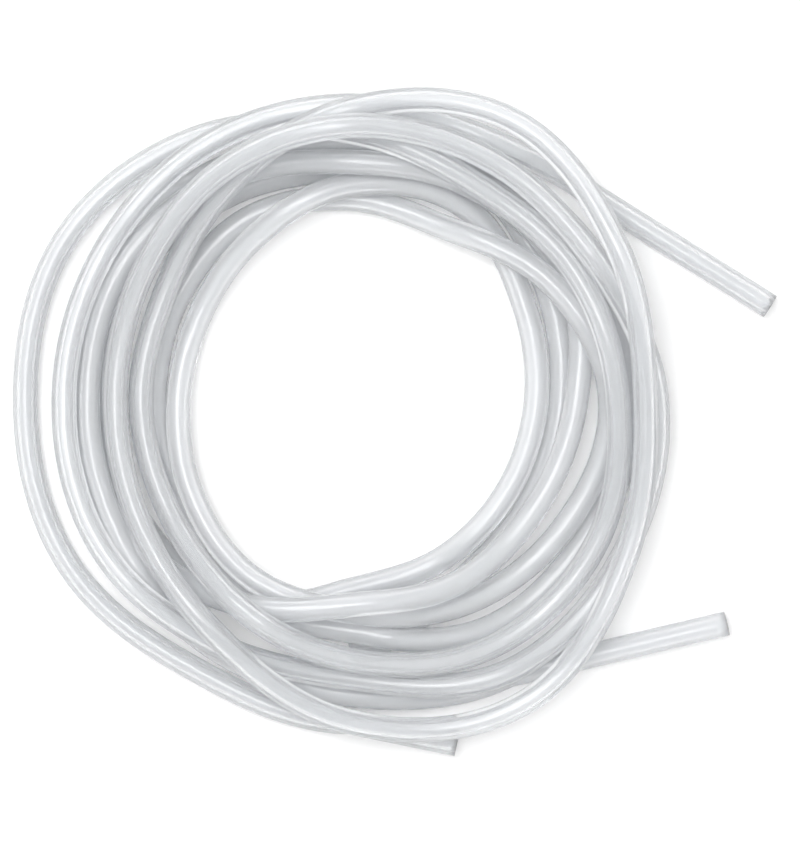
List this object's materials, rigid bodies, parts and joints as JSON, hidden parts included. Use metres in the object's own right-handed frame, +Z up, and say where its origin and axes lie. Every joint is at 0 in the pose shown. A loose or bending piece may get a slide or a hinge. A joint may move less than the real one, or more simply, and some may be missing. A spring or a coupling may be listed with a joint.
{
  "type": "silicone tubing coil",
  "caption": "Loose hand-wound coil of soft, translucent round tubing that lies flat, with straight open ends for pushing onto barbs or pipe stubs.",
  "frame": {"origin": "middle of the coil's box, on the surface that it lies on", "axes": "+Z up, +X to the side where the straight ends point, +Y across the coil"},
  "size_m": [0.2456, 0.2131, 0.0405],
  "materials": {
    "first_tube": "translucent milky silicone, satin",
    "second_tube": "translucent milky silicone, satin"
  },
  "bodies": {
    "root": {"first_tube_turns": "first_tube", "first_tube_upper_end": "first_tube", "first_tube_foot_end": "first_tube", "second_tube_turns": "second_tube", "second_tube_lower_end": "second_tube"}
  },
  "joints": []
}
